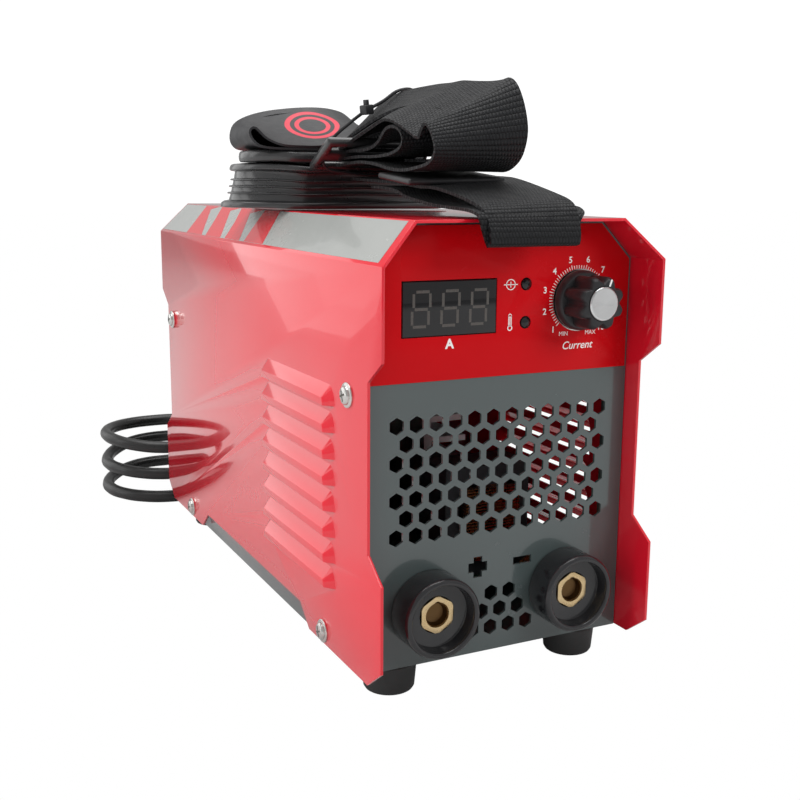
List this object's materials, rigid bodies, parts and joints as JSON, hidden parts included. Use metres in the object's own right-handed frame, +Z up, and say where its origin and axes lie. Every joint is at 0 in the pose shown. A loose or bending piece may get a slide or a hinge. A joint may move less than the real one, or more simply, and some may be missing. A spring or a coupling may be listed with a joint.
{
  "type": "stick welding inverter",
  "caption": "Portable stick welding inverter: gloss red wrap-over cover, grey vented front, welding sockets, current knob, mains lead and bundled shoulder strap.",
  "frame": {"origin": "centre of the machine's footprint, on the surface that its feet stand on", "axes": "+Z up, -Y towards the front panel with the sockets and the knob, +X to the right seen from the front"},
  "size_m": [0.2429, 0.4125, 0.2475],
  "materials": {
    "gloss_red_paint": "gloss powder coat",
    "grey_panel_paint": "satin paint",
    "red_label_film": "gloss printed film",
    "smoked_lens": "smoked clear plastic",
    "plated_steel": "bright plated",
    "black_rubber": "satin moulded rubber",
    "webbing": "woven polypropylene webbing",
    "brass": "turned and plated",
    "aluminium": "spun and anodised",
    "ferrite": "ground ferrite",
    "copper": "enamelled winding",
    "circuit_board": "solder mask",
    "black_plastic": "moulded plastic"
  },
  "bodies": {
    "root": {"front_panel": "grey_panel_paint", "cover": "gloss_red_paint", "rear_panel": "grey_panel_paint", "socket_collar_positive": "black_plastic", "socket_collar_negative": "black_plastic", "fan_frame": "black_plastic", "mains_plug": "black_rubber", "cord_gland": "black_rubber", "potentiometer": "plated_steel", "cord_coil_loose": "black_rubber", "cord_coil_tied": "black_rubber", "control_label": "red_label_film", "foot_front_left": "black_rubber", "foot_rear_left": "black_rubber", "foot_front_right": "black_rubber", "foot_rear_right": "black_rubber", "socket_insert_positive": "brass", "socket_insert_negative": "brass", "cover_screw_left_front_top": "plated_steel", "cover_screw_left_front_low": "plated_steel", "cover_screw_left_rear_top": "plated_steel", "cover_screw_left_rear_low": "plated_steel", "cover_screw_right_front_top": "plated_steel", "cover_screw_right_front_low": "plated_steel", "cover_screw_right_rear_top": "plated_steel", "cover_screw_right_rear_low": "plated_steel", "power_lamp": "smoked_lens", "heat_lamp": "smoked_lens", "heat_sink_left": "aluminium", "heat_sink_right": "aluminium", "socket_nut_positive": "brass", "socket_nut_negative": "brass", "foot_screw_front_left": "plated_steel", "foot_screw_rear_left": "plated_steel", "foot_screw_front_right": "plated_steel", "foot_screw_rear_right": "plated_steel", "potentiometer_nut": "plated_steel", "control_board": "circuit_board", "capacitor_1": "black_plastic", "capacitor_2": "black_plastic", "mains_cord": "black_rubber", "mains_cord_end": "black_rubber", "zip_tie": "black_plastic", "shoulder_pad": "black_rubber", "strap_tail": "webbing", "transformer_core": "ferrite", "strap_buckle": "black_plastic", "switch_body": "black_plastic", "strap_bundle": "webbing", "base_tray": "grey_panel_paint", "transformer_winding": "copper", "strap_loop": "webbing", "display_window": "smoked_lens", "display_module": "black_plastic", "main_board": "circuit_board"},
    "knob": {"knob": "black_plastic", "knob_cap": "aluminium", "knob_shaft": "plated_steel"},
    "rocker": {"power_rocker": "black_plastic"},
    "fan": {"fan_rotor": "black_plastic"}
  },
  "joints": [
    {"name": "current_knob", "type": "hinge", "parent": "root", "child": "knob", "pos_m": [0.035, -0.135, 0.1564], "axis": [0, 1, 0], "range_deg": [-155, 115]},
    {"name": "power_switch", "type": "hinge", "parent": "root", "child": "rocker", "pos_m": [0, 0.1405, 0.163], "axis": [1, 0, 0], "range_deg": [-14, 0]},
    {"name": "fan_spin", "type": "hinge", "parent": "root", "child": "fan", "pos_m": [0, 0.129, 0.104], "axis": [0, 1, 0], "continuous": true}
  ]
}
